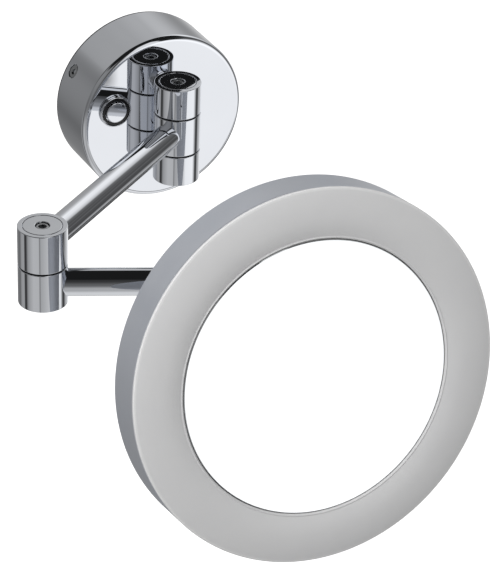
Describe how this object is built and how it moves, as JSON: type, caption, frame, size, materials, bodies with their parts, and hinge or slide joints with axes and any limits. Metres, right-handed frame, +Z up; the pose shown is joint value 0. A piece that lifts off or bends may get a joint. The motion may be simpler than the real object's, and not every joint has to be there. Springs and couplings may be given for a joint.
{
  "type": "extendable shaving mirror",
  "caption": "Wall mirror on two swinging chrome arms, with a round tilting head, an opal light ring round the glass and a push button on its round base.",
  "frame": {"origin": "centre of the wall plate's back face, on the wall", "axes": "+Y into the wall, +Z up, +X to the right of a person facing the wall; the object stands out along -Y"},
  "size_m": [0.2137, 0.2875, 0.2027],
  "materials": {
    "chrome": "bright chrome plate on brass and steel, polished to a mirror finish",
    "satin_aluminium": "satin anodised aluminium, fine turned grain",
    "steel": "zinc plated or stainless steel, machined",
    "bronze": "sintered bronze, matt",
    "black_rubber": "matt black rubber or foam",
    "black_plastic": "fine moulded black plastic",
    "white_plastic": "moulded white plastic",
    "nylon": "dark nylon",
    "opal_acrylic": "opal white acrylic, satin gloss, unlit",
    "mirror_glass": "silvered magnifying glass",
    "circuit_board": "white lacquered circuit board"
  },
  "bodies": {
    "base": {"wall_plate": "steel", "cable_grommet": "black_rubber", "base_gasket": "black_rubber", "base_cover": "chrome", "base_grub_screw": "steel", "post_bracket": "steel", "post_screw_upper": "steel", "post_screw_lower": "steel", "led_driver": "white_plastic", "terminal_block": "black_plastic", "button_bezel": "chrome", "button_ring": "black_plastic", "button_nut": "steel", "button_switch": "black_plastic", "button_spring": "steel", "post_upper_barrel": "chrome", "post_lower_barrel": "chrome", "base_pivot_screw": "steel", "base_pivot_cap": "chrome", "base_pivot_nut": "chrome", "base_spring_washer": "steel", "base_friction_washer_upper": "nylon", "base_friction_washer_lower": "nylon"},
    "button": {"button_cap": "chrome"},
    "arm_1": {"arm_1_inner_barrel": "chrome", "base_bush": "bronze", "arm_1_tube": "chrome", "arm_1_outer_barrel": "chrome", "elbow_pivot_screw": "steel", "elbow_pivot_cap": "chrome", "elbow_pivot_nut": "chrome", "elbow_spring_washer": "steel", "elbow_friction_washer": "nylon"},
    "arm_2": {"arm_2_inner_barrel": "chrome", "elbow_bush": "bronze", "arm_2_tube": "chrome", "arm_2_outer_barrel": "chrome", "swivel_pivot_screw": "steel", "swivel_pivot_cap": "chrome", "swivel_pivot_nut": "chrome", "swivel_spring_washer": "steel", "swivel_friction_washer": "nylon"},
    "yoke": {"yoke_barrel": "chrome", "swivel_bush": "bronze", "yoke_stem": "chrome"},
    "head": {"tilt_bracket": "chrome", "tilt_pin": "steel", "tilt_nut": "steel", "tilt_washer_left": "nylon", "tilt_washer_right": "nylon", "bracket_screw_1": "steel", "bracket_screw_2": "steel", "bracket_screw_3": "steel", "head_housing": "satin_aluminium", "head_plate": "steel", "mirror_tray": "white_plastic", "led_board": "circuit_board", "diffuser_ring": "opal_acrylic", "mirror_seal": "black_rubber", "mirror_glass": "mirror_glass"}
  },
  "joints": [
    {"name": "button_press", "type": "slide", "parent": "base", "child": "button", "axis": [0, 1, 0], "range_m": [0, 0.0015], "stiffness_N_per_m": 1200, "springref_m": -0.001, "deforming": ["button_spring"]},
    {"name": "arm_1_swing", "type": "hinge", "parent": "base", "child": "arm_1", "pos_m": [0, -0.0551, 0.001], "axis": [0, 0, 1], "range_deg": [-36, 144]},
    {"name": "arm_2_swing", "type": "hinge", "parent": "arm_1", "child": "arm_2", "pos_m": [-0.12135, -0.14327, -0.0222], "axis": [0, 0, -1], "range_deg": [-45, 220]},
    {"name": "head_swivel", "type": "hinge", "parent": "arm_2", "child": "yoke", "pos_m": [-0.01903, -0.18882, -0.0454], "axis": [0, 0, 1], "range_deg": [-35, 110]},
    {"name": "head_tilt", "type": "hinge", "parent": "yoke", "child": "head", "pos_m": [-0.02102, -0.22677, -0.0454], "axis": [-0.9986, 0.0523, 0], "range_deg": [-42, 18]}
  ]
}
